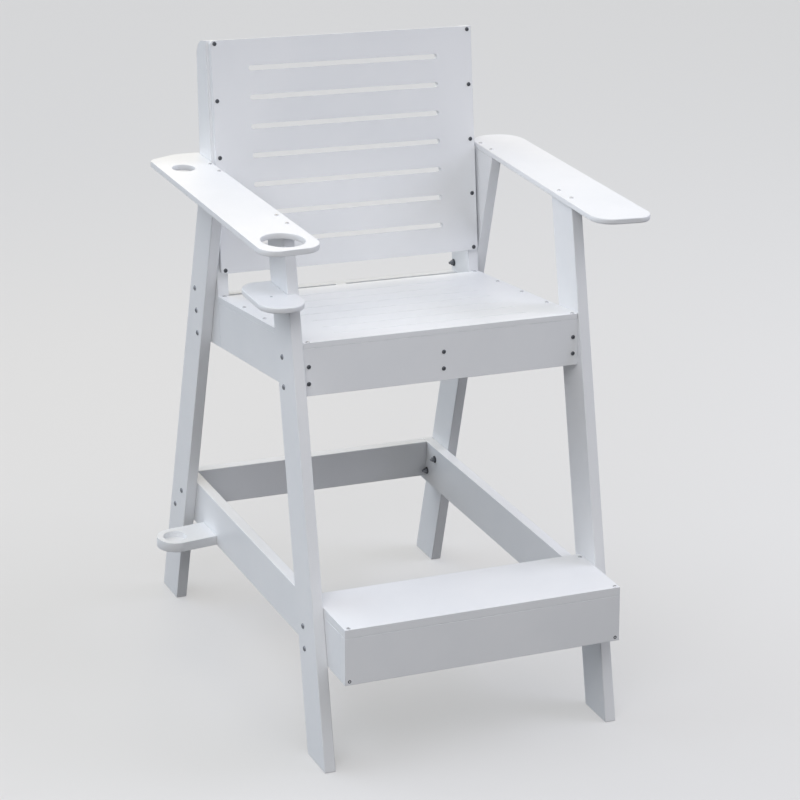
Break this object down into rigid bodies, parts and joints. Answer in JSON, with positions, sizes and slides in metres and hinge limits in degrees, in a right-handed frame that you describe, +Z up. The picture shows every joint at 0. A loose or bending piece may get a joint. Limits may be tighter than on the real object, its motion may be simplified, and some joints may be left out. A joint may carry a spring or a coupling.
{
  "type": "lifeguard chair",
  "caption": "Open-frame lifeguard chair in solid plastic boards, with a sloping seat, slotted back, armrests, a step, a cup shelf and an umbrella holder.",
  "frame": {"origin": "on the floor, under the middle of the chair's outline (middle of its width and depth)", "axes": "+X to the right as seen from in front of the chair, +Y from the front to the back, +Z up; left and right in the names are as seen from in front"},
  "size_m": [0.9067, 1.008, 1.3628],
  "materials": {
    "poly_board": "solid marine polyethylene sheet, satin, with a fine pebbled skin and planed, slightly eased edges",
    "steel": "stainless screws, bolts, washers and nuts, dull"
  },
  "bodies": {
    "root": {"front_left_leg": "poly_board", "front_right_leg": "poly_board", "rear_left_leg": "poly_board", "rear_right_leg": "poly_board", "seat_panel": "poly_board", "seat_front_apron": "poly_board", "seat_left_apron": "poly_board", "seat_right_apron": "poly_board", "seat_centre_rib": "poly_board", "seat_rear_rail": "poly_board", "left_back_upright": "poly_board", "right_back_upright": "poly_board", "back_panel": "poly_board", "left_armrest": "poly_board", "right_armrest": "poly_board", "cup_shelf": "poly_board", "left_lower_rail": "poly_board", "right_lower_rail": "poly_board", "lower_rear_rail": "poly_board", "step_front_board": "poly_board", "step_tread": "poly_board", "umbrella_bracket": "poly_board"}
  },
  "joints": []
}
